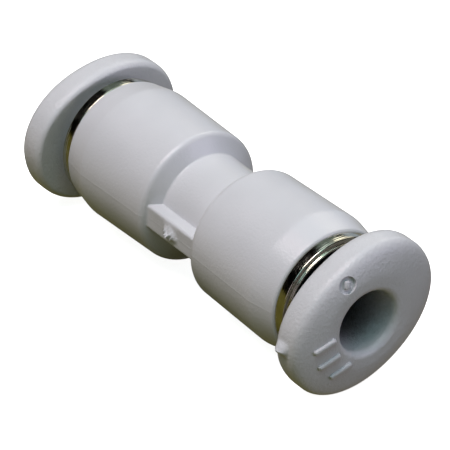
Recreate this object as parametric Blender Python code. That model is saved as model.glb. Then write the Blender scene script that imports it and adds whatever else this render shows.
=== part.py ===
"""Straight push fit coupling for 1/8 in (3.175 mm) tube.

The tube axis is X, +Z is up and the origin is the middle of the fitting. Both ends hold the same
pieces, so each end has an empty: end_a faces +X, and end_b is turned half round about Z. Every
turned profile is a closed loop of (x, radius) points, where x is the distance from the middle.
"""

import math

import bmesh
import bpy
from mathutils import Vector

MM = 0.001

# Driving dimensions
TUBE_R = 3.175 / 2 * MM
BARREL_R = 3.67 * MM  # at the shoulder
WIDEST_R = 3.80 * MM  # the mould's draft opens it towards the mouth
WIDEST_X = 7.10 * MM
NECK_R = 2.72 * MM
SHOULDER_X = 1.59 * MM
SHOULDER_SLOPE = math.radians(61)  # of the conical shoulder, from the tube axis
SHOULDER_ROUND = 0.44 * MM
MOUTH_X = 8.77 * MM
MOUTH_TAPER = math.radians(11)  # from the widest place to the mouth
MOUTH_BEND = 1.60 * MM  # radius of the bend into the taper
MOUTH_EDGE = 0.20 * MM
WEB_Y = 3.33 * MM  # outer faces of the two webs beside the neck
WEB_HALF_THICKNESS = 0.68 * MM
WEB_ROOT_R = 1.95 * MM  # the webs are one with the wall from here out
WEB_SINK = 0.60 * MM  # how far their ends run into the shoulders
FLANGE_HALF_LENGTH = 4.55 * MM  # of the oval that a finger pushes
FLANGE_HALF_WIDTH = 3.64 * MM
FLANGE_POWER = 2.16  # a touch squarer than an ellipse
FLANGE_BACK_X = 10.04 * MM
FLANGE_FACE_X = 11.97 * MM
FLANGE_FLAT_R = 2.45 * MM  # the face is flat this far out, and domed from there to the rim
FLANGE_DOME = 0.38 * MM  # how far the dome falls towards the rim
FLANGE_EDGE = 0.42 * MM  # depth of the rounding between the dome and the rim
FLANGE_DOME_POWER = 1.5
FLANGE_EDGE_POWER = 8
FLANGE_BACK_ROUND = 0.30 * MM  # inwards
FLANGE_BACK_DEPTH = 0.55 * MM  # along X
FLANGE_ROLL = {"a": math.radians(34.0), "b": math.radians(-15.6)}
TRAVEL = 0.45 * MM  # push of a release ring

# Fits
GAP = 0.03 * MM  # between pieces that touch on the real fitting
RUNNING = 0.05 * MM  # between the release sleeve and the guide ring's lip

# Passage through the body, from the middle outwards
WATERWAY_R = 1.15 * MM
TUBE_STOP_X = 2.60 * MM
SOCKET_R = TUBE_R + 0.035 * MM
SEAL_STEP_X = 4.00 * MM
SEAL_POCKET_R = 2.75 * MM
GUIDE_STEP_X = 5.55 * MM
GUIDE_POCKET_R = 3.23 * MM

# Guide ring
GUIDE_HEAD_R = 3.42 * MM
GUIDE_STEP_R = 3.20 * MM  # a small step on the head's front
GUIDE_HEAD_X = 9.40 * MM
GUIDE_FRONT_X = 9.54 * MM
GUIDE_DISH_R = 3.12 * MM  # its front is dished inside this radius
GUIDE_DISH_X = 9.05 * MM
GUIDE_BORE_R = 2.85 * MM
LIP_X = 8.75 * MM  # inner face of the lip that keeps the release ring in
LIP_R = 2.30 * MM

# Release ring
SLEEVE_BORE_R = 1.69 * MM
HOLE_ENTRY = 0.35 * MM
SLEEVE_R = LIP_R - RUNNING
SLEEVE_TIP_R = 2.05 * MM
BARB_R = 2.55 * MM
NOSE_ROUND = 0.14 * MM
NOSE_R = SLEEVE_BORE_R + NOSE_ROUND  # middle of the rounded nose
SLOT_WIDTH = 0.50 * MM
SLOT_END_X = 8.60 * MM

# Grip ring: a band and six spring claws
CLAWS = 6
HINGE_X = 7.20 * MM
HINGE_R = 2.40 * MM
CLAW_TIP_R = 1.45 * MM  # the tips bite into the tube
CLAW_DROP = 0.75 * MM  # how far the tips lie inwards of the hinge line
CLAW_THICKNESS = 0.16 * MM
CLAW_ROOT_HALF = 0.70 * MM
CLAW_TIP_HALF = 0.60 * MM
CLAW_LEAN = math.atan2(HINGE_R - CLAW_TIP_R, CLAW_DROP)  # from the tube axis
BAND_R = (2.53 * MM, 2.82 * MM)
BAND_X = (7.10 * MM, 7.30 * MM)

# The nose stops just short of the claws, and stays as close to them while it pushes them open
NOSE_CLEARANCE = NOSE_ROUND + CLAW_THICKNESS / 2 + 0.08 * MM
NOSE_X = HINGE_X - (HINGE_R - NOSE_R) / math.tan(CLAW_LEAN) + NOSE_CLEARANCE / math.sin(CLAW_LEAN)

OUTER_SEGMENTS = 40
INNER_SEGMENTS = 30


def clear_scene():
    for obj in list(bpy.data.objects):
        bpy.data.objects.remove(obj, do_unlink=True)


def make_material(name, colour, roughness, metallic=0.0):
    material = bpy.data.materials.new(name)
    material.use_nodes = True
    shader = material.node_tree.nodes["Principled BSDF"]
    shader.inputs["Base Color"].default_value = (*colour, 1.0)
    shader.inputs["Roughness"].default_value = roughness
    shader.inputs["Metallic"].default_value = metallic
    return material


def arc(centre, radius, start, end, steps):
    """Points of an arc in (x, radius), from angle start to end in degrees; radius may be a pair."""
    along, across = radius if isinstance(radius, tuple) else (radius, radius)
    angles = [math.radians(start + (end - start) * i / steps) for i in range(steps + 1)]
    return [(centre[0] + along * math.cos(a), centre[1] + across * math.sin(a)) for a in angles]


def circle(radius):
    return lambda angle: radius


def oval(half_length, half_width):
    """Radius of the flange's outline at an angle from its long axis."""

    def radius(angle):
        along = abs(math.cos(angle) / half_length) ** FLANGE_POWER
        across = abs(math.sin(angle) / half_width) ** FLANGE_POWER
        return (along + across) ** (-1 / FLANGE_POWER)

    return radius


def face_depth(share):
    """How far the flange's face lies behind its flat, from the flat's edge, share 0, to the rim, share 1."""
    rounding = 1 - math.sqrt(1 - share**FLANGE_EDGE_POWER)
    return FLANGE_DOME * share**FLANGE_DOME_POWER + FLANGE_EDGE * rounding


def face_outline(share):
    """An outline between the flat's edge, share 0, and the flange's rim, share 1."""
    rim = oval(FLANGE_HALF_LENGTH, FLANGE_HALF_WIDTH)
    return lambda angle: FLANGE_FLAT_R + share * (rim(angle) - FLANGE_FLAT_R)


def link(name, mesh, material, parent=None, roll=0.0):
    obj = bpy.data.objects.new(name, mesh)
    bpy.context.scene.collection.objects.link(obj)
    mesh.materials.append(material)
    obj.parent = parent
    obj.rotation_euler.x = roll
    return obj


def lofted_ring(name, stations, segments):
    """A mesh with one loop about X for each (x, radius function), joined end to end."""
    bm = bmesh.new()
    loops = []
    for x, radius in stations:
        angles = [2 * math.pi * i / segments for i in range(segments)]
        points = [(x, radius(a) * math.cos(a), radius(a) * math.sin(a)) for a in angles]
        loops.append([bm.verts.new(point) for point in points])
    for loop, following in zip(loops, loops[1:] + loops[:1]):
        for i in range(segments):
            j = (i + 1) % segments
            bm.faces.new((loop[i], loop[j], following[j], following[i]))
    bmesh.ops.recalc_face_normals(bm, faces=bm.faces)
    mesh = bpy.data.meshes.new(name)
    bm.to_mesh(mesh)
    bm.free()
    mesh.shade_smooth()
    mesh.set_sharp_from_angle(angle=math.radians(30))
    return mesh


def turned(name, profile, segments):
    return lofted_ring(name, [(x, circle(r)) for x, r in profile], segments)


def cutter_box(name, low, high, parent=None, roll=0.0):
    """A closed box that is only a tool: a Boolean's other half."""
    bm = bmesh.new()
    bmesh.ops.create_cube(bm, size=1.0)
    low, high = Vector(low), Vector(high)
    for vert in bm.verts:
        vert.co = Vector(a + (b - a) * (c + 0.5) for a, b, c in zip(low, high, vert.co))
    mesh = bpy.data.meshes.new(name)
    bm.to_mesh(mesh)
    bm.free()
    obj = bpy.data.objects.new(name, mesh)
    bpy.context.scene.collection.objects.link(obj)
    obj.parent = parent
    obj.rotation_euler.x = roll
    obj.hide_render = True
    obj.display_type = "WIRE"
    return obj


def boolean(obj, tool, operation):
    modifier = obj.modifiers.new(tool.name, "BOOLEAN")
    modifier.object = tool
    modifier.operation = operation
    modifier.solver = "EXACT"


def body_profile():
    """One half of the body's section, from the neck out to the mouth and back down the passage."""
    cone_end_r = BARREL_R - SHOULDER_ROUND * (1 - math.cos(SHOULDER_SLOPE))
    cone_end_x = SHOULDER_X + (cone_end_r - NECK_R) / math.tan(SHOULDER_SLOPE)
    shoulder = (cone_end_x + SHOULDER_ROUND * math.sin(SHOULDER_SLOPE), BARREL_R - SHOULDER_ROUND)
    cone_end = 90 + math.degrees(SHOULDER_SLOPE)
    taper_end = 90 - math.degrees(MOUTH_TAPER)
    bend = arc((WIDEST_X, WIDEST_R - MOUTH_BEND), MOUTH_BEND, 90, taper_end, 2)
    edge_end = 20
    edge_x = MOUTH_X - MOUTH_EDGE * math.cos(math.radians(edge_end))
    start_x = edge_x + MOUTH_EDGE * math.sin(MOUTH_TAPER)
    start_r = bend[-1][1] - (start_x - bend[-1][0]) * math.tan(MOUTH_TAPER)
    edge = (edge_x, start_r - MOUTH_EDGE * math.cos(MOUTH_TAPER))
    chamfer = 0.12 * MM
    return [
        (SHOULDER_X, NECK_R),
        *arc(shoulder, SHOULDER_ROUND, cone_end, 90, 5),
        *bend,
        *arc(edge, MOUTH_EDGE, taper_end, edge_end, 3),
        (MOUTH_X, GUIDE_POCKET_R + chamfer),
        (MOUTH_X - chamfer, GUIDE_POCKET_R),
        (GUIDE_STEP_X, GUIDE_POCKET_R),
        (GUIDE_STEP_X, SEAL_POCKET_R),
        (SEAL_STEP_X, SEAL_POCKET_R),
        (SEAL_STEP_X, SOCKET_R + chamfer),
        (SEAL_STEP_X - chamfer, SOCKET_R),
        (TUBE_STOP_X, SOCKET_R),
        (TUBE_STOP_X, WATERWAY_R),
    ]


def make_body(material):
    half = body_profile()
    other = [(-x, r) for x, r in reversed(half)]
    body = link("coupling_body", turned("coupling_body", half + other, OUTER_SEGMENTS), material)
    web_x = SHOULDER_X + WEB_SINK
    for side, name in ((-1, "web_front"), (1, "web_back")):
        edges = sorted((side * WEB_ROOT_R, side * WEB_Y))
        low = (-web_x, edges[0], -WEB_HALF_THICKNESS)
        high = (web_x, edges[1], WEB_HALF_THICKNESS)
        boolean(body, cutter_box(name, low, high), "UNION")


def guide_profile():
    skirt = GUIDE_POCKET_R - GAP
    tooth = 0.12 * MM
    start = GUIDE_STEP_X + 0.15 * MM
    profile = [(start, GUIDE_BORE_R), (start, skirt - tooth)]
    for i in range(3):  # saw-toothed rings that hold it in the plastic
        top = GUIDE_STEP_X + (0.75 + 0.6 * i) * MM
        profile += [(top, skirt), (top, skirt - tooth)]
    profile += [(top + 0.25 * MM, skirt), (MOUTH_X + GAP, skirt)]
    edge = 0.10 * MM
    profile += [(MOUTH_X + GAP, GUIDE_HEAD_R - edge / 2), (MOUTH_X + GAP + edge / 2, GUIDE_HEAD_R)]
    profile += arc((GUIDE_HEAD_X - edge, GUIDE_HEAD_R - edge), edge, 90, 0, 3)
    profile += [(GUIDE_HEAD_X, GUIDE_STEP_R), (GUIDE_FRONT_X - edge / 2, GUIDE_STEP_R)]
    profile += [(GUIDE_FRONT_X, GUIDE_STEP_R - edge / 2)]
    profile += [(GUIDE_FRONT_X, GUIDE_DISH_R), (GUIDE_DISH_X, GUIDE_DISH_R - edge)]
    profile += [(GUIDE_DISH_X, LIP_R)]
    profile += [(LIP_X, LIP_R), (LIP_X, GUIDE_BORE_R)]
    return profile


def make_guide_ring(end, parent, material):
    name = f"guide_ring_{end}"
    link(name, turned(name, guide_profile(), OUTER_SEGMENTS), material, parent)


def release_stations():
    """Loops of the release ring: up the bore, over the oval flange, and back along the sleeve."""
    entry = arc((FLANGE_FACE_X - HOLE_ENTRY, SLEEVE_BORE_R + HOLE_ENTRY), HOLE_ENTRY, 270, 360, 3)
    stations = [(x, circle(r)) for x, r in entry]
    for i in range(10):
        share = math.sin(math.radians(10 * i))
        stations.append((FLANGE_FACE_X - face_depth(share), face_outline(share)))
    for i in range(4):
        angle = math.radians(30 * i)
        inset = FLANGE_BACK_ROUND * (1 - math.cos(angle))
        outline = oval(FLANGE_HALF_LENGTH - inset, FLANGE_HALF_WIDTH - inset)
        stations.append((FLANGE_BACK_X + FLANGE_BACK_DEPTH * (1 - math.sin(angle)), outline))
    barb_x = LIP_X - RUNNING
    sleeve = [
        (FLANGE_BACK_X, SLEEVE_R + 0.15 * MM),
        (FLANGE_BACK_X - 0.10 * MM, SLEEVE_R),
        (barb_x, SLEEVE_R),
        (barb_x, BARB_R),
        (barb_x - 0.22 * MM, BARB_R),
        (barb_x - 0.70 * MM, SLEEVE_TIP_R),
        (NOSE_X + 0.25 * MM, SLEEVE_TIP_R),
        *arc((NOSE_X, NOSE_R), NOSE_ROUND, 90, 270, 6),
    ]
    return stations + [(x, circle(r)) for x, r in sleeve]


def make_release_ring(end, parent, material):
    name = f"release_ring_{end}"
    roll = FLANGE_ROLL[end]
    ring = link(name, lofted_ring(name, release_stations(), OUTER_SEGMENTS), material, parent, roll)
    reach = BARB_R + 0.3 * MM
    for i in range(2):  # two saw cuts make four spring fingers
        low = (NOSE_X - 0.4 * MM, -SLOT_WIDTH / 2, -reach)
        high = (SLOT_END_X, SLOT_WIDTH / 2, reach)
        cut = cutter_box(f"slot_{end}_{i + 1}", low, high, parent, roll + math.radians(45 + 90 * i))
        boolean(ring, cut, "DIFFERENCE")


def make_collet(end, parent, material):
    """The seat behind the claws: its cone lets them open, and its bore steadies the tube."""
    front = BAND_X[0] - GAP
    outer = BAND_R[1]
    profile = [
        (GUIDE_STEP_X + GAP, SOCKET_R + 0.10 * MM),
        (GUIDE_STEP_X + GAP, outer - 0.10 * MM),
        (GUIDE_STEP_X + GAP + 0.10 * MM, outer),
        (front, outer),
        (front, 2.56 * MM),
        (front - 1.07 * MM, 2.05 * MM),
        (front - 1.17 * MM, SOCKET_R + 0.02 * MM),
        (GUIDE_STEP_X + GAP + 0.08 * MM, SOCKET_R + 0.02 * MM),
    ]
    link(f"collet_{end}", turned(f"collet_{end}", profile, INNER_SEGMENTS), material, parent)


def make_grip_band(end, parent, material):
    """The clamped rim of the grip ring."""
    corners = [(BAND_X[0], BAND_R[0]), (BAND_X[0], BAND_R[1])]
    corners += [(BAND_X[1], BAND_R[1]), (BAND_X[1], BAND_R[0])]
    link(f"grip_band_{end}", turned(f"grip_band_{end}", corners, INNER_SEGMENTS), material, parent)


def claw_mesh(name):
    """A flat claw that leans from its hinge line, local Y, down to the tube. Local +Z is outwards."""
    lean = Vector((-CLAW_DROP, 0.0, CLAW_TIP_R - HINGE_R))
    length = lean.length
    lean.normalize()
    normal = Vector((0.0, 1.0, 0.0)).cross(lean)
    steps = 4
    root = [(-0.06 * MM, side * CLAW_ROOT_HALF) for side in (-1, 1)]
    tip = []
    for i in range(steps + 1):  # the biting edge follows the tube's round
        across = CLAW_TIP_HALF * (1 - 2 * i / steps)
        height = math.sqrt(CLAW_TIP_R**2 - across**2)
        tip.append((length * (HINGE_R - height) / (HINGE_R - CLAW_TIP_R), across))
    outline = root + tip
    bm = bmesh.new()
    sides = []
    for side in (-0.5, 0.5):
        offset = normal * side * CLAW_THICKNESS
        points = [lean * along + Vector((0, across, 0)) + offset for along, across in outline]
        sides.append([bm.verts.new(point) for point in points])
    bm.faces.new(sides[0])
    bm.faces.new(reversed(sides[1]))
    for i in range(len(outline)):
        j = (i + 1) % len(outline)
        bm.faces.new((sides[0][i], sides[1][i], sides[1][j], sides[0][j]))
    bmesh.ops.recalc_face_normals(bm, faces=bm.faces)
    mesh = bpy.data.meshes.new(name)
    bm.to_mesh(mesh)
    bm.free()
    return mesh


def make_claws(end, parent, material):
    mesh = claw_mesh(f"grip_claw_{end}")
    mesh.materials.append(material)
    for i in range(CLAWS):
        angle = 2 * math.pi * i / CLAWS
        claw = bpy.data.objects.new(f"grip_claw_{end}{i + 1}", mesh)
        bpy.context.scene.collection.objects.link(claw)
        claw.parent = parent
        claw.location = (HINGE_X, -HINGE_R * math.sin(angle), HINGE_R * math.cos(angle))
        claw.rotation_euler.x = angle


def make_seal(end, parent, material):
    """A lip seal: its groove faces the pressure, which presses the inner lip on the tube."""
    inner, outer = SEAL_STEP_X + GAP, GUIDE_STEP_X - 0.12 * MM
    rim = SEAL_POCKET_R - GAP
    profile = [
        (inner, rim - 0.10 * MM),
        (inner + 0.10 * MM, rim),
        (outer - 0.08 * MM, rim),
        (outer, rim - 0.08 * MM),
        (outer, 1.80 * MM),
        (inner + 0.62 * MM, 1.50 * MM),
        (inner + 0.50 * MM, 1.50 * MM),
        (inner, 1.68 * MM),
        (inner, 1.95 * MM),
        (inner + 0.60 * MM, 2.00 * MM),
        (inner + 0.72 * MM, 2.12 * MM),
        (inner + 0.60 * MM, 2.24 * MM),
        (inner, 2.32 * MM),
    ]
    link(f"lip_seal_{end}", turned(f"lip_seal_{end}", profile, INNER_SEGMENTS), material, parent)


def main():
    clear_scene()
    body_plastic = make_material("pale_grey_pbt", (0.56, 0.56, 0.58), 0.42)
    ring_plastic = make_material("pale_grey_acetal", (0.55, 0.56, 0.59), 0.36)
    nickel = make_material("nickel_plated_brass", (0.66, 0.64, 0.58), 0.12, 1.0)
    steel = make_material("spring_steel", (0.56, 0.55, 0.54), 0.25, 1.0)
    collet_plastic = make_material("natural_acetal", (0.80, 0.79, 0.74), 0.45)
    rubber = make_material("nitrile_rubber", (0.02, 0.02, 0.02), 0.6)
    make_body(body_plastic)
    for end, turn in (("a", 0.0), ("b", math.pi)):
        parent = bpy.data.objects.new(f"end_{end}", None)
        bpy.context.scene.collection.objects.link(parent)
        parent.rotation_euler.z = turn
        make_guide_ring(end, parent, nickel)
        make_release_ring(end, parent, ring_plastic)
        make_collet(end, parent, collet_plastic)
        make_grip_band(end, parent, steel)
        make_claws(end, parent, steel)
        make_seal(end, parent, rubber)


main()
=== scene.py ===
"""A straight push fit coupling for 1/8 in tube: fine meshes with plastic, metal and rubber finishes."""

import math

import bmesh
import bpy
import numpy as np
from mathutils import Matrix, Vector


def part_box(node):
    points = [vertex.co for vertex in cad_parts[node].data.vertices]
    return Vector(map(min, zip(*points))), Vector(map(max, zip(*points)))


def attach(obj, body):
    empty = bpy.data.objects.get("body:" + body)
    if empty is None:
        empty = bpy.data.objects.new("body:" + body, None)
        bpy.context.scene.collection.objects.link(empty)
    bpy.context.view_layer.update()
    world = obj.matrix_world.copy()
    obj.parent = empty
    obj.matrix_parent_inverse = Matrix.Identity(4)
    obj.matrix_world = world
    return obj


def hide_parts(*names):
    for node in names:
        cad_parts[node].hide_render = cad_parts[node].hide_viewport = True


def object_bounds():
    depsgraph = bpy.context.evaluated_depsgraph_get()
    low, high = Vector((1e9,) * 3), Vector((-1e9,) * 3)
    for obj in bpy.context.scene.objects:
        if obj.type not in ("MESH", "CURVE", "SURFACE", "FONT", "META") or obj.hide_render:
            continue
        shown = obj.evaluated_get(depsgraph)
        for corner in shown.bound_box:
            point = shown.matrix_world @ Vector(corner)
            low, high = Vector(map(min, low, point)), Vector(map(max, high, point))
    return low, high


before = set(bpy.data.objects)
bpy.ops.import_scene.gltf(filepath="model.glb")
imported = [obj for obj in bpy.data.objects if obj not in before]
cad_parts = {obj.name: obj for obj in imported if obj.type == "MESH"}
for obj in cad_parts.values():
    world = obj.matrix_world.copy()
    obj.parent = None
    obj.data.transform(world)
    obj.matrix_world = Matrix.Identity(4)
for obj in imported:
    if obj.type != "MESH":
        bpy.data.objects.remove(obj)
CAD_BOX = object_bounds()

MM = 0.001

# ---- Sizes, worked out from the frame where the frame has them ----
BODY_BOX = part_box("coupling_body")
RING_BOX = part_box("release_ring_a")
GUIDE_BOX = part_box("guide_ring_a")
SEAL_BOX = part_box("lip_seal_a")
BAND_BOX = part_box("grip_band_a")

WIDEST_R = BODY_BOX[1].y
WIDEST_X = 7.10 * MM
BARREL_R = WIDEST_R - 0.13 * MM
NECK_R = WIDEST_R - 1.08 * MM
SHOULDER_X = 1.59 * MM
SHOULDER_SLOPE = math.radians(61)
SHOULDER_ROUND = 0.44 * MM
MOUTH_X = BODY_BOX[1].x
MOUTH_TAPER = math.radians(11)
MOUTH_BEND = 1.60 * MM
MOUTH_EDGE = 0.20 * MM
WEB_Y = 3.33 * MM
WEB_HALF_THICKNESS = 0.68 * MM
WEB_ROUND = 0.17 * MM

TUBE_R = 3.175 / 2 * MM
WATERWAY_R = 1.15 * MM
TUBE_STOP_X = 2.60 * MM
SOCKET_R = TUBE_R + 0.035 * MM
SEAL_STEP_X = 4.00 * MM
SEAL_POCKET_R = 2.75 * MM
GUIDE_STEP_X = 5.55 * MM
GUIDE_POCKET_R = 3.23 * MM
GAP = 0.03 * MM

GUIDE_HEAD_R = GUIDE_BOX[1].z
GUIDE_FRONT_X = GUIDE_BOX[1].x
GUIDE_HEAD_X = GUIDE_FRONT_X - 0.14 * MM
GUIDE_STEP_R = 3.20 * MM
GUIDE_DISH_R = 3.12 * MM
GUIDE_DISH_X = 9.05 * MM
GUIDE_BORE_R = 2.85 * MM
LIP_X = 8.75 * MM
LIP_R = 2.30 * MM

FLANGE_FACE_X = RING_BOX[1].x
FLANGE_BACK_X = FLANGE_FACE_X - 1.93 * MM
FLANGE_HALF_LENGTH = 4.55 * MM
FLANGE_HALF_WIDTH = 3.64 * MM
FLANGE_POWER = 2.16
FLANGE_FLAT_R = 2.45 * MM
FLANGE_DOME = 0.38 * MM
FLANGE_EDGE = 0.42 * MM
FLANGE_BACK_ROUND = 0.30 * MM  # inwards
FLANGE_BACK_DEPTH = 0.55 * MM  # along X
FLANGE_ROLL = {"a": math.radians(34.0), "b": math.radians(-15.6)}
SLEEVE_BORE_R = 1.69 * MM
SLEEVE_R = LIP_R - 0.05 * MM
SLEEVE_TIP_R = 2.05 * MM
BARB_R = 2.55 * MM
NOSE_ROUND = 0.14 * MM
NOSE_R = SLEEVE_BORE_R + NOSE_ROUND
NOSE_X = RING_BOX[0].x + NOSE_ROUND
HOLE_ENTRY = 0.35 * MM
NUB_ANGLE = math.radians(154.5)  # from the flange's long axis
NUB_BEHIND_FACE = 1.28 * MM
ROUND_MARK = (0.23 * MM, 2.98 * MM)  # along and across the flange
SIZE_TICKS = (  # along, across, turn, length
    (-2.50 * MM, 1.13 * MM, math.radians(-12), 1.30 * MM),
    (-2.76 * MM, 0.12 * MM, math.radians(-12), 1.30 * MM),
    (-2.56 * MM, -0.95 * MM, math.radians(-12), 1.30 * MM),
)
SLOT_WIDTH = 0.50 * MM
SLOT_END_X = 8.60 * MM

CLAWS = 6
HINGE_X = 7.20 * MM
HINGE_R = 2.40 * MM
CLAW_TIP_R = 1.45 * MM
CLAW_DROP = 0.75 * MM
CLAW_THICKNESS = 0.16 * MM
CLAW_ROOT_HALF = 0.70 * MM
CLAW_TIP_HALF = 0.60 * MM
BAND_R = (2.53 * MM, 2.82 * MM)

TURNED_FINE = 240  # segments round a turned piece
BODY_FINE = 300
FLANGE_FINE = 320


# ---- Meshes ----


def arc(centre, radius, start, end, steps):
    """Points of an arc in (x, radius), from angle start to end in degrees; radius may be a pair."""
    along, across = radius if isinstance(radius, tuple) else (radius, radius)
    angles = [math.radians(start + (end - start) * i / steps) for i in range(steps + 1)]
    return [(centre[0] + along * math.cos(a), centre[1] + across * math.sin(a)) for a in angles]


def straight(start, end, steps):
    """Points between start and end, without either."""
    return [tuple(a + (b - a) * i / steps for a, b in zip(start, end)) for i in range(1, steps)]


def add_object(name, mesh, body, material, replaced=()):
    piece = bpy.data.objects.new(name, mesh)
    bpy.context.scene.collection.objects.link(piece)
    mesh.materials.append(material)
    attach(piece, body)
    if replaced:
        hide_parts(*replaced)
    return piece


def mesh_of(name, bm):
    mesh = bpy.data.meshes.new(name)
    bm.to_mesh(mesh)
    bm.free()
    return mesh


def smooth(mesh):
    mesh.shade_smooth()
    mesh.set_sharp_from_angle(angle=math.radians(35))


def loops_mesh(name, loops, turn=False):
    """A closed mesh through loops of points about X, joined last to first. Turn faces it to -X."""
    points = np.array(loops, float)
    if turn:
        points[..., :2] *= -1
    rows, count = points.shape[:2]
    index = np.arange(rows * count).reshape(rows, count)
    below, beside = np.roll(index, -1, axis=0), np.roll(index, -1, axis=1)
    faces = np.stack([index, beside, np.roll(below, -1, axis=1), below], axis=-1).reshape(-1, 4)
    mesh = bpy.data.meshes.new(name)
    mesh.from_pydata(points.reshape(-1, 3).tolist(), [], faces.tolist())
    bm = bmesh.new()
    bm.from_mesh(mesh)
    bmesh.ops.recalc_face_normals(bm, faces=bm.faces)
    bpy.data.meshes.remove(mesh)
    mesh = mesh_of(name, bm)
    smooth(mesh)
    return mesh


def ring_of_points(x, radius, angles):
    """One loop about X; radius is a number, or one for each angle."""
    return np.stack([np.full(len(angles), x), radius * np.cos(angles), radius * np.sin(angles)], -1)


def turned(name, profile, turn=False):
    """A turned piece from a closed profile of (x, radius)."""
    angles = 2 * np.pi * np.arange(TURNED_FINE) / TURNED_FINE
    return loops_mesh(name, [ring_of_points(x, r, angles) for x, r in profile], turn)


def soft_max(a, b, width):
    """The larger of the two, with the crossing rounded off over about this width."""
    return width * np.logaddexp(a / width, b / width)


# ---- Body ----


def body_angles(count):
    """Angles round the body, closer together at the parting line and at the webs' edges."""
    web_edge, web_band, parting_band = 12.5, 2.2, 0.9  # degrees from the parting line
    fine = np.linspace(0, 2 * np.pi, 7201)
    fold = np.degrees(np.arctan2(np.abs(np.sin(fine)), np.abs(np.cos(fine))))
    at_web, at_parting = np.exp(-(((fold - web_edge) / web_band) ** 2)), np.exp(-((fold / parting_band) ** 2))
    density = 1 + 9 * at_web + 7 * at_parting
    total = np.concatenate([[0], np.cumsum((density[1:] + density[:-1]) / 2)])
    return np.interp(np.arange(count) * total[-1] / count, total, fine)


def web_radius(angles):
    """Where the webs' section lies: a plate with rounded edges."""
    across, up = np.abs(np.cos(angles)), np.abs(np.sin(angles))
    top = WEB_HALF_THICKNESS / np.maximum(up, 1e-6)
    outer = WEB_Y / np.maximum(across, 1e-3)
    centre_y, centre_z = WEB_Y - WEB_ROUND, WEB_HALF_THICKNESS - WEB_ROUND
    along = centre_y * across + centre_z * up
    under = np.maximum(along**2 - centre_y**2 - centre_z**2 + WEB_ROUND**2, 0)
    corner = (outer * up > centre_z) & (top * across > centre_y)
    return np.where(corner, along + np.sqrt(under), np.minimum(top, outer))


def gate_bump(x, angles):
    """The torn stub of the moulding gate, on the front web."""
    height = 0.38 * MM
    middle_x, middle_z, half_length, reach_up, reach_down = 0.05, -0.08, 0.42, 0.34, 0.17  # millimetres
    y, z = np.cos(angles), np.sin(angles) * WEB_Y
    dx, dz = x / MM - middle_x, z / MM - middle_z
    reach = np.where(dz > 0, reach_up, reach_down)
    blob = np.exp(-((np.abs(dx + 0.25 * dz) / half_length) ** 3) - (dz / reach) ** 2)
    torn = 0.80 + 0.20 * np.sin(11 * dx + 2.0) * np.cos(15 * dz) + 0.14 * np.sin(27 * dx - 19 * dz)
    return np.where(y < 0, height * blob * torn, 0.0)


def make_body(material):
    cone_end_r = BARREL_R - SHOULDER_ROUND * (1 - math.cos(SHOULDER_SLOPE))
    cone_end_x = SHOULDER_X + (cone_end_r - NECK_R) / math.tan(SHOULDER_SLOPE)
    shoulder = (cone_end_x + SHOULDER_ROUND * math.sin(SHOULDER_SLOPE), BARREL_R - SHOULDER_ROUND)
    cone_end = 90 + math.degrees(SHOULDER_SLOPE)
    taper_end = 90 - math.degrees(MOUTH_TAPER)
    bend = arc((WIDEST_X, WIDEST_R - MOUTH_BEND), MOUTH_BEND, 90, taper_end, 8)
    edge_end = 20  # degrees, where the rounded edge meets the end face
    edge_x = MOUTH_X - MOUTH_EDGE * math.cos(math.radians(edge_end))
    start_x = edge_x + MOUTH_EDGE * math.sin(MOUTH_TAPER)
    start_r = bend[-1][1] - (start_x - bend[-1][0]) * math.tan(MOUTH_TAPER)
    edge = (edge_x, start_r - MOUTH_EDGE * math.cos(MOUTH_TAPER))
    fillet = 0.14 * MM
    foot = (SHOULDER_X - fillet * math.tan(SHOULDER_SLOPE / 2), NECK_R + fillet)
    foot_end = 270 + math.degrees(SHOULDER_SLOPE)
    foot_arc = arc(foot, fillet, 270, foot_end, 7)
    middle = (0.03 * MM, NECK_R)
    outer = [
        middle,
        *straight(middle, foot_arc[0], 26),
        *foot_arc,
        *straight(foot_arc[-1], (cone_end_x, cone_end_r), 10),
        *arc(shoulder, SHOULDER_ROUND, cone_end, 90, 16),
        *straight((shoulder[0], BARREL_R), bend[0], 18),
        *bend,
        *straight(bend[-1], (start_x, start_r), 6),
        *arc(edge, MOUTH_EDGE, taper_end, edge_end, 10),
    ]
    chamfer = 0.12 * MM
    rim = 0.05 * MM
    inner = [
        (MOUTH_X, outer[-1][1] - rim),
        (MOUTH_X, GUIDE_POCKET_R + chamfer),
        (MOUTH_X - chamfer, GUIDE_POCKET_R),
        (GUIDE_STEP_X, GUIDE_POCKET_R),
        (GUIDE_STEP_X, SEAL_POCKET_R),
        (SEAL_STEP_X, SEAL_POCKET_R),
        (SEAL_STEP_X, SOCKET_R + chamfer),
        (SEAL_STEP_X - chamfer, SOCKET_R),
        (TUBE_STOP_X, SOCKET_R),
        (TUBE_STOP_X, WATERWAY_R + 0.05 * MM),
        (TUBE_STOP_X - 0.05 * MM, WATERWAY_R),
    ]
    angles = body_angles(BODY_FINE)
    web = web_radius(angles)
    web_fillet = 0.03 * MM
    flash_height, flash_width = 0.006 * MM, 0.03 * MM
    from_parting = np.abs(np.sin(angles)) * BARREL_R
    flash = flash_height * np.exp(-((from_parting / flash_width) ** 2))

    def loop(x, r, outside):
        radius = np.full(len(angles), r)
        if outside:
            radius = soft_max(radius, web, web_fillet) + flash + gate_bump(x, angles)
        return ring_of_points(x, radius, angles)

    half = [(x, r, True) for x, r in outer] + [(x, r, False) for x, r in inner]
    whole = half + [(-x, r, outside) for x, r, outside in reversed(half)]
    mesh = loops_mesh("body_moulding", [loop(*station) for station in whole])
    add_object("body_moulding", mesh, "root", material, ["coupling_body"])


# ---- Guide rings ----


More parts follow.
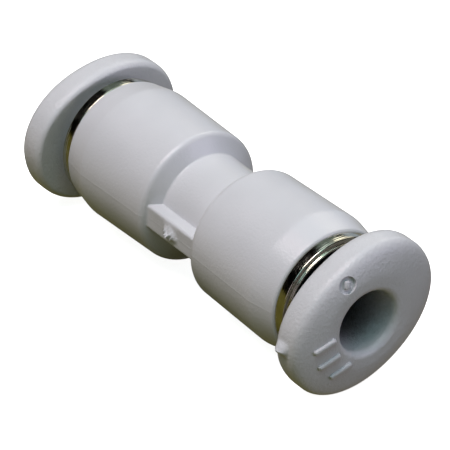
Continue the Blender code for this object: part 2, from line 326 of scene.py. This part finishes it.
def make_guide_ring(end, material):
    """A skirt with three teeth that bite in the body, a head, and a dished front with a lip."""
    skirt = GUIDE_POCKET_R - GAP
    tooth, first_tooth, pitch = 0.12 * MM, 0.75, 0.6  # the last two in millimetres
    start = GUIDE_STEP_X + 0.15 * MM
    profile = [(start, GUIDE_BORE_R), (start, skirt - tooth)]
    for i in range(3):
        top = GUIDE_STEP_X + (first_tooth + pitch * i) * MM
        profile += [(top, skirt), (top, skirt - tooth)]
    head = MOUTH_X + GAP
    edge = 0.10 * MM
    bead = 0.05 * MM
    profile += [(top + 0.25 * MM, skirt), (head, skirt)]
    profile += arc((head + bead, GUIDE_HEAD_R - bead), bead, 180, 90, 5)
    profile += arc((GUIDE_HEAD_X - edge, GUIDE_HEAD_R - edge), edge, 90, 0, 8)
    profile += arc((GUIDE_HEAD_X + bead, GUIDE_STEP_R + bead), bead, 180, 270, 5)
    profile += arc((GUIDE_FRONT_X - bead, GUIDE_STEP_R - bead), bead, 90, 0, 6)
    dish_slope = 0.1 * MM
    profile += [(GUIDE_FRONT_X, GUIDE_DISH_R), (GUIDE_DISH_X, GUIDE_DISH_R - dish_slope)]
    profile += [(GUIDE_DISH_X, LIP_R), (LIP_X, LIP_R), (LIP_X, GUIDE_BORE_R)]
    name = f"plated_guide_ring_{end}"
    mesh = turned(name, profile, end == "b")
    add_object(name, mesh, "root", material, [f"guide_ring_{end}"])


# ---- Release rings ----


def oval_radius(angles, inset=0.0):
    """The flange's outline, pulled in by inset, at angles from its long axis."""
    along = (np.abs(np.cos(angles)) / (FLANGE_HALF_LENGTH - inset)) ** FLANGE_POWER
    across = (np.abs(np.sin(angles)) / (FLANGE_HALF_WIDTH - inset)) ** FLANGE_POWER
    return (along + across) ** (-1 / FLANGE_POWER)


def face_depth(share):
    """How far the face lies behind its flat, from the flat's edge, share 0, to the rim, share 1."""
    return FLANGE_DOME * share**1.5 + FLANGE_EDGE * (1 - math.sqrt(1 - share**8))


def gate_nub(x, angles):
    """The snapped-off stub of the moulding gate on the flange's rim."""
    height, half_width, half_length = 0.38 * MM, 0.42, 0.50  # the last two in millimetres
    place = (x - FLANGE_FACE_X + NUB_BEHIND_FACE) / MM
    turn = (angles - NUB_ANGLE + np.pi) % (2 * np.pi) - np.pi
    width = turn * FLANGE_HALF_LENGTH / MM
    wedge = np.maximum(0, 1 - np.abs(width) / half_width) * np.maximum(0, 1 - (place / half_length) ** 2)
    return height * wedge


def release_loops(nub):
    """Loops of the release ring: up the bore, over the flange, back along the sleeve. Nub is 1 or 0."""
    angles = 2 * np.pi * np.arange(FLANGE_FINE) / FLANGE_FINE
    loops = []

    def add(x, radius):
        loops.append(ring_of_points(x, np.broadcast_to(radius, angles.shape), angles))

    entry = arc((FLANGE_FACE_X - HOLE_ENTRY, SLEEVE_BORE_R + HOLE_ENTRY), HOLE_ENTRY, 270, 360, 12)
    for x, r in entry:
        add(x, r)
    entry_r = entry[-1][1]
    for i in range(1, 4):
        add(FLANGE_FACE_X, entry_r + (FLANGE_FLAT_R - entry_r) * i / 4)
    rim = oval_radius(angles)
    dome_steps, round_steps, hub_steps = 44, 12, 8
    for i in range(dome_steps + 1):
        share = math.sin(math.pi / 2 * i / dome_steps)
        x = FLANGE_FACE_X - face_depth(share)
        add(x, FLANGE_FLAT_R + share * (rim - FLANGE_FLAT_R) + nub * share**4 * gate_nub(x, angles))
    for x in np.linspace(FLANGE_FACE_X - face_depth(1), FLANGE_BACK_X + FLANGE_BACK_DEPTH, 8)[1:-1]:
        add(x, rim + nub * gate_nub(x, angles))
    for i in range(round_steps + 1):
        angle = math.pi / 2 * i / round_steps
        x = FLANGE_BACK_X + FLANGE_BACK_DEPTH * (1 - math.sin(angle))
        outline = oval_radius(angles, FLANGE_BACK_ROUND * (1 - math.cos(angle)))
        add(x, outline + nub * math.cos(angle) * gate_nub(x, angles))
    hub = 0.15 * MM
    edge = oval_radius(angles, FLANGE_BACK_ROUND)
    for i in range(1, hub_steps + 1):
        add(FLANGE_BACK_X, edge + (SLEEVE_R + hub - edge) * i / hub_steps)
    barb_x = LIP_X - 0.05 * MM
    sleeve = [
        (FLANGE_BACK_X - 0.10 * MM, SLEEVE_R),
        (barb_x, SLEEVE_R),
        (barb_x, BARB_R - 0.04 * MM),
        (barb_x - 0.04 * MM, BARB_R),
        (barb_x - 0.20 * MM, BARB_R),
        (barb_x - 0.70 * MM, SLEEVE_TIP_R),
        (NOSE_X + 0.25 * MM, SLEEVE_TIP_R),
        *arc((NOSE_X, NOSE_R), NOSE_ROUND, 90, 270, 12),
    ]
    for x, r in sleeve:
        add(x, r)
    return loops


def face_frame(along, across):
    """The place on the flange's face at these distances along its axes, with its outward direction as Z."""

    def point(s, t):
        angle, radius = math.atan2(t, s), math.hypot(s, t)
        rim = float(oval_radius(angle))
        share = min(max((radius - FLANGE_FLAT_R) / (rim - FLANGE_FLAT_R), 0.0), 1.0)
        return Vector((FLANGE_FACE_X - face_depth(share), s, t))

    step = 0.05 * MM
    place = point(along, across)
    ahead, beside = point(along + step, across) - place, point(along, across + step) - place
    outward = ahead.cross(beside).normalized()
    ahead.normalize()
    return Matrix.Translation(place) @ Matrix((ahead, outward.cross(ahead), outward)).transposed().to_4x4()


def rounded_bar(bm, length, width, height, edge, place):
    """A raised bar with rounded edges, half sunk in the face; place puts it there."""
    made = bmesh.ops.create_cube(bm, size=1.0)
    verts = made["verts"]
    bmesh.ops.scale(bm, vec=(length, width, 2 * height), verts=verts)
    edges = list({e for v in verts for e in v.link_edges})
    rounded = bmesh.ops.bevel(bm, geom=edges + verts, offset=edge, segments=4, profile=0.5, affect="EDGES")
    whole = {v for f in rounded["faces"] for v in f.verts}
    bmesh.ops.transform(bm, matrix=place, verts=list(whole))


def raised_marks():
    """Plain raised size ticks beside the hole, and the pip in the middle of the round mark."""
    bm = bmesh.new()
    for along, across, turn, length in SIZE_TICKS:
        spot = face_frame(along, across) @ Matrix.Rotation(turn, 4, "Z")
        rounded_bar(bm, length, width=0.30 * MM, height=0.14 * MM, edge=0.11 * MM, place=spot)
    pip_height = 0.16 * MM
    pip = face_frame(*ROUND_MARK) @ Matrix.Translation((0, 0, -pip_height))
    pip = pip @ Matrix.Rotation(math.radians(50), 4, "Z")
    rounded_bar(bm, 0.46 * MM, width=0.28 * MM, height=pip_height, edge=0.10 * MM, place=pip)
    return mesh_of("raised_marks", bm)


def ring_cuts():
    """What is cut out of the release ring: the round mark and the two saw cuts."""
    bm = bmesh.new()
    deep = 0.18 * MM
    spot = face_frame(*ROUND_MARK) @ Matrix.Translation((0, 0, deep))
    radii = {"radius1": 0.44 * MM, "radius2": 0.58 * MM}
    bmesh.ops.create_cone(bm, cap_ends=True, segments=48, depth=4 * deep, matrix=spot, **radii)
    reach = BARB_R + 0.3 * MM
    length = SLOT_END_X - NOSE_X + 0.4 * MM
    for i in range(2):
        turn = Matrix.Rotation(math.radians(45 + 90 * i), 4, "X")
        middle = Matrix.Translation((SLOT_END_X - length / 2, 0, 0))
        box = middle @ Matrix.Diagonal((length, SLOT_WIDTH, 2 * reach, 1))
        bmesh.ops.create_cube(bm, size=1.0, matrix=turn @ box)
    return mesh_of("ring_cuts", bm)


def combined(piece, operation, tool_mesh):
    """The piece's mesh after one Boolean with a tool."""
    tool = bpy.data.objects.new("tool", tool_mesh)
    bpy.context.scene.collection.objects.link(tool)
    modifier = piece.modifiers.new("cut", "BOOLEAN")
    modifier.object, modifier.operation, modifier.solver = tool, operation, "EXACT"
    modifier.use_self = True
    bpy.context.view_layer.update()
    mesh = bpy.data.meshes.new_from_object(piece.evaluated_get(bpy.context.evaluated_depsgraph_get()))
    piece.modifiers.remove(modifier)
    bpy.data.objects.remove(tool)
    return mesh


def release_ring_mesh(nub):
    """The release ring at end a with its flange's long axis along Y."""
    piece = bpy.data.objects.new("ring_blank", loops_mesh("ring_blank", release_loops(nub)))
    bpy.context.scene.collection.objects.link(piece)
    piece.data = combined(piece, "DIFFERENCE", ring_cuts())
    mesh = combined(piece, "UNION", raised_marks())
    bpy.data.objects.remove(piece)
    return mesh


def make_release_ring(end, material):
    """Only ring a has the stub of its gate."""
    name = f"release_ring_moulding_{end}"
    mesh = release_ring_mesh(nub=1 if end == "a" else 0)
    mesh.name = name
    turn = Matrix.Rotation(math.pi if end == "b" else 0.0, 4, "Z")
    mesh.transform(turn @ Matrix.Rotation(FLANGE_ROLL[end], 4, "X"))
    smooth(mesh)
    add_object(name, mesh, f"button_{end}", material, [f"release_ring_{end}"])


# ---- Pieces inside ----


def make_collet(end, material):
    front = BAND_BOX[0].x - GAP
    back = GUIDE_STEP_X + GAP
    outer = BAND_R[1]
    soft = 0.06 * MM
    profile = [
        (back, SOCKET_R + 0.10 * MM),
        *arc((back + 0.10 * MM, outer - 0.10 * MM), 0.10 * MM, 180, 90, 6),
        *arc((front - soft, outer - soft), soft, 90, 0, 5),
        (front, 2.56 * MM),
        (front - 1.07 * MM, 2.05 * MM),
        (front - 1.17 * MM, SOCKET_R + 0.02 * MM),
        (back + 0.08 * MM, SOCKET_R + 0.02 * MM),
    ]
    name = f"collet_seat_{end}"
    mesh = turned(name, profile, end == "b")
    add_object(name, mesh, f"grip_{end}", material, [f"collet_{end}"])


def make_grip_band(end, material):
    low, high = BAND_BOX[0].x, BAND_BOX[1].x
    edge = 0.03 * MM
    profile = [
        *arc((low + edge, BAND_R[0] + edge), edge, 270, 180, 3),
        *arc((low + edge, BAND_R[1] - edge), edge, 180, 90, 3),
        *arc((high - edge, BAND_R[1] - edge), edge, 90, 0, 3),
        *arc((high - edge, BAND_R[0] + edge), edge, 0, -90, 3),
    ]
    name = f"grip_rim_{end}"
    mesh = turned(name, profile, end == "b")
    add_object(name, mesh, f"grip_{end}", material, [f"grip_band_{end}"])


def claw_mesh(name, place):
    """A stamped claw: flat, with burnished edges, and a biting edge that follows the tube's round."""
    lean = Vector((-CLAW_DROP, 0.0, CLAW_TIP_R - HINGE_R))
    length = lean.length
    lean.normalize()
    normal = Vector((0.0, 1.0, 0.0)).cross(lean)
    steps = 14
    outline = [(-0.06 * MM, side * CLAW_ROOT_HALF) for side in (-1, 1)]
    for i in range(steps + 1):
        across = CLAW_TIP_HALF * (1 - 2 * i / steps)
        height = math.sqrt(CLAW_TIP_R**2 - across**2)
        outline.append((length * (HINGE_R - height) / (HINGE_R - CLAW_TIP_R), across))
    bm = bmesh.new()
    half = normal * CLAW_THICKNESS / 2
    points = [lean * u + Vector((0, v, 0)) for u, v in outline]
    sides = [[bm.verts.new(point + side * half) for point in points] for side in (-1, 1)]
    bm.faces.new(sides[0])
    bm.faces.new(reversed(sides[1]))
    for i in range(len(outline)):
        j = (i + 1) % len(outline)
        bm.faces.new((sides[0][i], sides[1][i], sides[1][j], sides[0][j]))
    bmesh.ops.recalc_face_normals(bm, faces=bm.faces)
    sharp = [e for e in bm.edges if e.calc_face_angle() > math.radians(30)]
    bmesh.ops.bevel(bm, geom=sharp, offset=0.025 * MM, segments=2, profile=0.5, affect="EDGES")
    mesh = mesh_of(name, bm)
    mesh.transform(place)
    smooth(mesh)
    return mesh


def make_claws(end, material):
    turn = Matrix.Rotation(math.pi if end == "b" else 0.0, 4, "Z")
    for i in range(CLAWS):
        around = Matrix.Rotation(2 * math.pi * i / CLAWS, 4, "X")
        place = turn @ around @ Matrix.Translation((HINGE_X, 0, HINGE_R))
        mesh = claw_mesh(f"spring_claw_{end}{i + 1}", place)
        node = f"claw_{end}{i + 1}"
        add_object(mesh.name, mesh, node, material, [f"grip_{node}"])


def make_seal(end, material):
    inner, outer = SEAL_BOX[0].x, SEAL_BOX[1].x
    rim = SEAL_BOX[1].z
    lip = (inner + 0.56 * MM, 1.56 * MM)
    groove = (inner + 0.60 * MM, 2.12 * MM)
    profile = [
        (inner, rim - 0.10 * MM),
        *arc((inner + 0.10 * MM, rim - 0.10 * MM), 0.10 * MM, 170, 90, 5),
        *arc((outer - 0.08 * MM, rim - 0.08 * MM), 0.08 * MM, 90, 0, 5),
        (outer, 1.80 * MM),
        *arc(lip, 0.06 * MM, 330, 220, 6),
        (inner, 1.68 * MM),
        (inner, 1.95 * MM),
        *arc(groove, 0.12 * MM, 270, 450, 10),
        (inner, 2.32 * MM),
    ]
    name = f"rubber_lip_seal_{end}"
    mesh = turned(name, profile, end == "b")
    add_object(name, mesh, "root", material, [f"lip_seal_{end}"])


# ---- Finishes ----

BODY_SHADES = ("#cacbce", "#d3d3d6")
RING_SHADES = ("#c8c9cc", "#d1d1d3")
TURNING_MARK = 0.1382  # millimetres between turning marks, coarser than real ones so that they show
WAVE_REPEAT = math.tau / 20  # a wave texture of scale 1 repeats after this
BORE_PAINTED_SHADE = "#737f82"  # painted shade deep in the release ring's bore
BORE_SHADE_X = (FLANGE_FACE_X - 2.8 * MM, FLANGE_FACE_X - 1.0 * MM)  # the painted shade is full at the first, gone at the second
DISH_SHADE_R = (3.10 * MM, 3.17 * MM)  # painted shade in the dished front: near black within the first radius, gone beyond the second


def linear(colour):
    """An sRGB hex colour as linear RGBA."""
    channels = [int(colour[i : i + 2], 16) / 255 for i in (1, 3, 5)]
    return (*[c / 12.92 if c <= 0.04045 else ((c + 0.055) / 1.055) ** 2.4 for c in channels], 1.0)


def per_size(millimetres):
    """The scale of a noise or cell pattern whose features are about this far apart."""
    return 1 / (millimetres * MM)


def add_node(material, kind, inputs=(), **settings):
    """Adds a node. inputs are pairs of a socket and what goes in: a value, or another node's output."""
    node = material.node_tree.nodes.new(kind)
    for name, value in settings.items():
        setattr(node, name, value)
    for socket, value in inputs:
        if isinstance(value, bpy.types.NodeSocket):
            material.node_tree.links.new(value, node.inputs[socket])
        else:
            node.inputs[socket].default_value = value
    return node


def start_material(name, metallic, roughness, ior=None):
    """A material with its shader's plain values set; returns it, its shader and its surface coordinates."""
    material = bpy.data.materials.new(name)
    material.use_nodes = True
    shader = material.node_tree.nodes["Principled BSDF"]
    shader.inputs["Metallic"].default_value = metallic
    shader.inputs["Roughness"].default_value = roughness
    if ior:
        shader.inputs["IOR"].default_value = ior
    place = add_node(material, "ShaderNodeTexCoord").outputs["Object"]
    return material, shader, place


def feed(material, shader, socket, output):
    material.node_tree.links.new(output, shader.inputs[socket])


def noise(material, place, size, detail=2.0, roughness=0.5):
    pairs = [("Vector", place), ("Scale", per_size(size)), ("Detail", detail), ("Roughness", roughness)]
    return add_node(material, "ShaderNodeTexNoise", pairs).outputs["Fac"]


def spread(material, factor, low, high, start=0.35, end=0.65):
    """Maps a pattern's middle range to a range of values."""
    pairs = [("Value", factor), ("From Min", start), ("From Max", end), ("To Min", low), ("To Max", high)]
    return add_node(material, "ShaderNodeMapRange", pairs).outputs["Result"]


def between(material, factor, first, second):
    """A colour between two, each a hex colour or another node's output."""
    first, second = (linear(c) if isinstance(c, str) else c for c in (first, second))
    pairs = [("Factor", factor), (6, first), (7, second)]
    return add_node(material, "ShaderNodeMix", pairs, data_type="RGBA").outputs[2]


def maths(material, operation, first, second):
    return add_node(material, "ShaderNodeMath", [(0, first), (1, second)], operation=operation).outputs[0]


def length_along(material, place, axes):
    """How far a place lies from the middle, counting only these axes."""
    kept = add_node(material, "ShaderNodeMapping", [("Vector", place), ("Scale", axes)]).outputs["Vector"]
    return add_node(material, "ShaderNodeVectorMath", [(0, kept)], operation="LENGTH").outputs["Value"]


def relief(material, height, depth, strength=1.0, below=None):
    """Bump that rises depth millimetres as height goes from 0 to 1, over any coarser bump."""
    pairs = [("Height", height), ("Distance", depth * MM), ("Strength", strength)]
    if below:
        pairs.append(("Normal", below))
    return add_node(material, "ShaderNodeBump", pairs).outputs["Normal"]


def specks(material, place, spacing, radius, share):
    """1 on small round specks, one in each cell that is chosen; about a share of the cells is."""
    pairs = [("Vector", place), ("Scale", per_size(spacing))]
    cells = add_node(material, "ShaderNodeTexVoronoi", pairs)
    reach = radius / spacing
    near = spread(material, cells.outputs["Distance"], 1.0, 0.0, reach * 0.5, reach)
    chosen = maths(material, "GREATER_THAN", cells.outputs["Color"], 1 - share)
    return maths(material, "MULTIPLY", near, chosen)


def moulded_pbt():
    """Filled PBT, moulded in a spark-eroded tool: a pale grey satin with faint flow clouds and specks."""
    material, shader, place = start_material("moulded_pbt", 0.0, 0.40, 1.55)
    clouds = noise(material, place, 2.6, 2.0, 0.5)
    base = between(material, spread(material, clouds, 0.0, 1.0, 0.1, 0.9), BODY_SHADES[0], BODY_SHADES[1])
    dirt = specks(material, place, 2.3, 0.08, 0.22)
    feed(material, shader, "Base Color", between(material, dirt, base, "#4a4038"))
    gloss = noise(material, place, 0.9, 2.0)
    feed(material, shader, "Roughness", spread(material, gloss, 0.27, 0.36, 0.1, 0.9))
    wave = relief(material, noise(material, place, 2.2, 0.0), 0.04)
    grain = noise(material, place, 0.16, 3.0, 0.6)
    feed(material, shader, "Normal", relief(material, grain, 0.016, 1.0, wave))
    return material


def moulded_acetal():
    """Acetal, injection moulded: a shade darker than the body, with a coarser grain, and painted shade
    darkening the bore deep inside.
    """
    material, shader, place = start_material("moulded_acetal", 0.0, 0.38, 1.48)
    clouds = noise(material, place, 1.8, 3.0, 0.6)
    base = between(material, spread(material, clouds, 0.0, 1.0, 0.1, 0.9), RING_SHADES[0], RING_SHADES[1])
    # Painted shade: the bore turns dark teal grey deep inside the ring and fades out towards the face.
    radius = length_along(material, place, (0, 1, 1))
    outside = spread(material, radius, 0.0, 1.0, SLEEVE_BORE_R, 1.1 * SLEEVE_BORE_R)
    shallow = spread(material, length_along(material, place, (1, 0, 0)), 0.0, 1.0, *BORE_SHADE_X)
    unshaded = maths(material, "MAXIMUM", outside, shallow)
    feed(material, shader, "Base Color", between(material, unshaded, BORE_PAINTED_SHADE, base))
    gloss = noise(material, place, 0.5, 2.0)
    feed(material, shader, "Roughness", spread(material, gloss, 0.28, 0.42, 0.1, 0.9))
    wave = relief(material, noise(material, place, 1.1, 1.0), 0.02)
    grain = noise(material, place, 0.17, 3.0, 0.65)
    feed(material, shader, "Normal", relief(material, grain, 0.034, 1.0, wave))
    return material


def nickel_on_turned_brass():
    """Brass, turned and nickel plated: a warm mirror with fine turning marks, and painted shade near black in
    its dished front.
    """
    material, shader, place = start_material("nickel_on_turned_brass", 1.0, 0.14)
    clouds = noise(material, place, 0.7, 3.0)
    plate = between(material, spread(material, clouds, 0.0, 1.0), "#b9b3a2", "#cfcabb")
    # Painted shade: the dished front inside the bead is painted near black.
    unshaded = spread(material, length_along(material, place, (0, 1, 1)), 0.0, 1.0, *DISH_SHADE_R)
    feed(material, shader, "Base Color", between(material, unshaded, "#1d1c19", plate))
    smears = noise(material, place, 0.35, 4.0, 0.6)
    feed(material, shader, "Roughness", spread(material, smears, 0.09, 0.22))
    scale = per_size(TURNING_MARK) * WAVE_REPEAT
    pairs = [("Vector", place), ("Scale", scale), ("Distortion", 0.4), ("Detail", 1.0)]
    marks = add_node(material, "ShaderNodeTexWave", pairs, bands_direction="X").outputs["Fac"]
    feed(material, shader, "Normal", relief(material, marks, 0.0025))
    return material


def stamped_spring_steel():
    """Stainless strip, rolled, stamped and tempered: fine rolling streaks and a faint straw tint."""
    material, shader, place = start_material("stamped_spring_steel", 1.0, 0.28)
    along = add_node(material, "ShaderNodeMapping", [("Vector", place), ("Scale", (1.0, 0.12, 1.0))])
    streaks = noise(material, along.outputs["Vector"], 0.06, 4.0, 0.6)
    tint = noise(material, place, 0.8, 2.0)
    colour = between(material, spread(material, tint, 0.0, 1.0), "#b4b3b0", "#c2bbab")
    feed(material, shader, "Base Color", colour)
    feed(material, shader, "Roughness", spread(material, streaks, 0.20, 0.40))
    feed(material, shader, "Normal", relief(material, streaks, 0.003))
    return material


def natural_acetal():
    """Uncoloured acetal, moulded and barrel tumbled: milky white, waxy, with softly matted grain."""
    material, shader, place = start_material("natural_acetal", 0.0, 0.42, 1.48)
    clouds = noise(material, place, 1.2, 3.0, 0.55)
    colour = between(material, spread(material, clouds, 0.0, 1.0), "#dedacd", "#ebe8de")
    feed(material, shader, "Base Color", colour)
    feed(material, shader, "Roughness", spread(material, noise(material, place, 0.3, 3.0), 0.36, 0.50))
    feed(material, shader, "Normal", relief(material, noise(material, place, 0.12, 2.0), 0.006))
    return material


def nitrile_rubber():
    """Compression-moulded nitrile rubber: near black, dull, with a greyish bloom and a mould texture."""
    material, shader, place = start_material("nitrile_rubber", 0.0, 0.58, 1.52)
    bloom = noise(material, place, 0.6, 4.0, 0.6)
    colour = between(material, spread(material, bloom, 0.0, 1.0), "#171716", "#2b2b29")
    feed(material, shader, "Base Color", colour)
    feed(material, shader, "Roughness", spread(material, bloom, 0.48, 0.68))
    feed(material, shader, "Normal", relief(material, noise(material, place, 0.10, 3.0), 0.010))
    return material


# ---- Camera, floor and light ----

FLOOR_SEEN = 0.9  # glow added to the board for the camera alone
FLOOR_GLOW = (0.134, 0.122, 0.031, 1)  # the board's dim light on the fitting
FLOOR_SHADE_R = (2 * MM, 7 * MM)  # that light is dimmest within the first and full beyond the second
FLOOR_SHADE = 0.25  # how much of it is left under the fitting
FLOOR_HALF = 1.5
SOFTBOX_DISTANCE = 0.25
SOFTBOXES = (  # name, azimuth, elevation, diameter, watts, colour; watts and colours were fitted by a solver
    ("front_low", 0, 12, 0.14, 0.0320, (0.974, 0.890, 1.000)),
    ("front_high", 0, 70, 0.14, 0.4219, (1.000, 0.843, 0.880)),
    ("right_low", 120, 12, 0.14, 0.1635, (0.810, 0.763, 1.000)),
    ("rear_low", 210, 12, 0.14, 0.0282, (0.670, 0.802, 1.000)),
    ("rear", 210, 42, 0.14, 0.1212, (1.000, 1.000, 0.917)),
    ("left_rear", 240, 42, 0.14, 0.0104, (0.769, 1.000, 0.990)),
    ("left_high", 240, 70, 0.14, 0.0819, (0.792, 0.972, 1.000)),
    ("front_right", 30, 42, 0.14, 0.0605, (0.599, 0.910, 1.000)),
    ("right_high", 60, 70, 0.14, 0.1010, (0.611, 1.000, 0.992)),
    ("glint", 327, 50, 0.05, 0.0450, (1.000, 1.000, 1.000)),
)

VIEW_AZIMUTH = math.radians(51.21)
VIEW_ELEVATION = math.radians(31.23)
VIEW_ROLL = math.radians(3.55)
VIEW_DISTANCE = 190.34 * MM
VIEW_OFFSET = (0.1275 * MM, -0.4926 * MM)  # right and up, from the middle of the fitting
LENS_MM = 298.72


def towards(azimuth, elevation):
    """The direction of a place seen from the middle; azimuth 0 is at -Y, and it turns towards +X."""
    level = math.cos(elevation)
    return Vector((math.sin(azimuth) * level, -math.cos(azimuth) * level, math.sin(elevation)))


def make_camera():
    back = towards(VIEW_AZIMUTH, VIEW_ELEVATION)
    level = Vector((math.cos(VIEW_AZIMUTH), math.sin(VIEW_AZIMUTH), 0))
    right = level * math.cos(VIEW_ROLL) + back.cross(level) * math.sin(VIEW_ROLL)
    up = back.cross(right)
    data = bpy.data.cameras.new("camera")
    data.lens, data.sensor_width = LENS_MM, 36
    data.clip_start, data.clip_end = 0.01, 10
    camera = bpy.data.objects.new("camera", data)
    bpy.context.scene.collection.objects.link(camera)
    spot = right * VIEW_OFFSET[0] + up * VIEW_OFFSET[1] + back * VIEW_DISTANCE
    axes = Matrix((right, up, back)).transposed().to_4x4()
    camera.matrix_world = Matrix.Translation(spot) @ axes
    bpy.context.scene.camera = camera


def pale_board():
    """A white painted board. The camera sees it brighter than it is; to the fitting it is only a dim glow."""
    material = bpy.data.materials.new("pale_board")
    material.use_nodes = True
    tree = material.node_tree
    tree.nodes.remove(tree.nodes["Principled BSDF"])
    white = add_node(material, "ShaderNodeBsdfDiffuse", [("Color", linear("#f4f4f2"))]).outputs[0]
    bright = [("Color", (1, 1, 1, 1)), ("Strength", FLOOR_SEEN)]
    glow = add_node(material, "ShaderNodeEmission", bright).outputs[0]
    seen = add_node(material, "ShaderNodeAddShader", [(0, white), (1, glow)]).outputs[0]
    place = add_node(material, "ShaderNodeTexCoord").outputs["Object"]
    away = length_along(material, place, (0.45, 1, 0))
    shade = spread(material, away, FLOOR_SHADE, 1.0, *FLOOR_SHADE_R)
    low = add_node(material, "ShaderNodeEmission", [("Color", FLOOR_GLOW), ("Strength", shade)]).outputs[0]
    path = add_node(material, "ShaderNodeLightPath").outputs["Is Camera Ray"]
    mixed = add_node(material, "ShaderNodeMixShader", [(0, path), (1, low), (2, seen)]).outputs[0]
    tree.links.new(mixed, tree.nodes["Material Output"].inputs["Surface"])
    return material


def make_floor():
    mesh = bpy.data.meshes.new("floor")
    low = CAD_BOX[0][2]
    corners = [(x * FLOOR_HALF, y * FLOOR_HALF, low) for x, y in ((-1, -1), (1, -1), (1, 1), (-1, 1))]
    mesh.from_pydata(corners, [], [(0, 1, 2, 3)])
    floor = bpy.data.objects.new("floor", mesh)
    bpy.context.scene.collection.objects.link(floor)
    mesh.materials.append(pale_board())


def make_room():
    """Pale walls to the camera; they throw no light on the fitting."""
    world = bpy.data.worlds.new("world")
    world.use_nodes = True
    tree = world.node_tree
    background = tree.nodes["Background"]
    background.inputs["Color"].default_value = (1, 1, 1, 1)
    path = tree.nodes.new("ShaderNodeLightPath")
    tree.links.new(path.outputs["Is Camera Ray"], background.inputs["Strength"])
    bpy.context.scene.world = world


def make_light():
    for name, azimuth, elevation, diameter, watts, colour in SOFTBOXES:
        data = bpy.data.lights.new(name, "AREA")
        data.shape = "DISK"
        data.size = diameter
        data.energy = watts
        data.color = colour
        light = bpy.data.objects.new(name, data)
        bpy.context.scene.collection.objects.link(light)
        direction = towards(math.radians(azimuth), math.radians(elevation))
        light.location = direction * SOFTBOX_DISTANCE
        light.rotation_euler = direction.to_track_quat("Z", "Y").to_euler()


make_camera()
make_floor()
make_room()
make_light()
bpy.context.scene.view_settings.view_transform = "Standard"

pbt, acetal, nickel = moulded_pbt(), moulded_acetal(), nickel_on_turned_brass()
steel, seat_acetal, rubber = stamped_spring_steel(), natural_acetal(), nitrile_rubber()
make_body(pbt)
for end in "ab":
    make_guide_ring(end, nickel)
    make_release_ring(end, acetal)
    make_collet(end, seat_acetal)
    make_grip_band(end, steel)
    make_claws(end, steel)
    make_seal(end, rubber)
